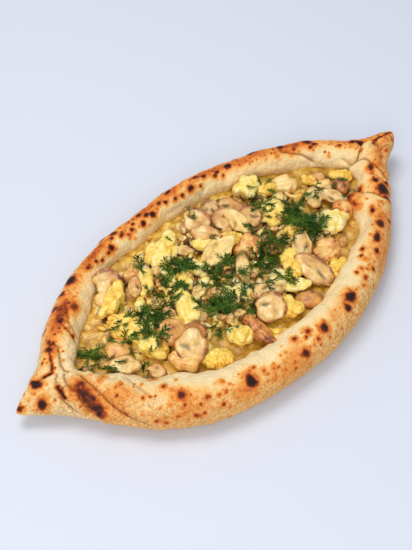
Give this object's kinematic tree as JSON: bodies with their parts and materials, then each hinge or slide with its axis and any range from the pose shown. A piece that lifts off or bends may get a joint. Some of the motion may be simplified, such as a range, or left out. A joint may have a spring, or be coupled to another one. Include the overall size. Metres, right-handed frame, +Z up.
{
  "type": "filled boat-shaped flatbread",
  "caption": "Boat-shaped baked bread with a rolled rim and pinched tips, filled with melted cheese, scrambled egg, mushrooms and chicken under chopped dill.",
  "frame": {"origin": "middle of the underside, under the centre of the bread's length and width", "axes": "X runs from tip to tip, Y across the boat, +Z up"},
  "size_m": [0.3642, 0.1788, 0.0361],
  "materials": {
    "crust": "matte baked dough, golden with charred blisters",
    "cheese": "moist melted cheese",
    "egg": "moist scrambled egg",
    "mushroom": "moist fried mushroom, pale flesh and tan skin",
    "chicken": "browned fried meat"
  },
  "bodies": {
    "root": {"bread": "crust", "cheese": "cheese", "mushroom_01": "mushroom", "mushroom_02": "mushroom", "mushroom_03": "mushroom", "mushroom_04": "mushroom", "mushroom_05": "mushroom", "mushroom_06": "mushroom", "mushroom_07": "mushroom", "mushroom_08": "mushroom", "mushroom_09": "mushroom", "mushroom_10": "mushroom", "mushroom_11": "mushroom", "mushroom_12": "mushroom", "mushroom_13": "mushroom", "mushroom_14": "mushroom", "mushroom_15": "mushroom", "mushroom_16": "mushroom", "mushroom_17": "mushroom", "mushroom_18": "mushroom", "mushroom_19": "mushroom", "mushroom_20": "mushroom", "mushroom_21": "mushroom", "mushroom_22": "mushroom", "mushroom_23": "mushroom", "mushroom_24": "mushroom", "mushroom_25": "mushroom", "mushroom_26": "mushroom", "mushroom_27": "mushroom", "egg_01": "egg", "egg_02": "egg", "egg_03": "egg", "egg_04": "egg", "egg_05": "egg", "egg_06": "egg", "egg_07": "egg", "egg_08": "egg", "egg_09": "egg", "egg_10": "egg", "egg_11": "egg", "egg_12": "egg", "egg_13": "egg", "egg_14": "egg", "egg_15": "egg", "egg_16": "egg", "egg_17": "egg", "egg_18": "egg", "egg_19": "egg", "egg_20": "egg", "egg_21": "egg", "egg_22": "egg", "egg_23": "egg", "chicken_01": "chicken", "chicken_02": "chicken", "chicken_03": "chicken", "chicken_04": "chicken", "chicken_05": "chicken", "chicken_06": "chicken", "chicken_07": "chicken", "chicken_08": "chicken"}
  },
  "joints": []
}
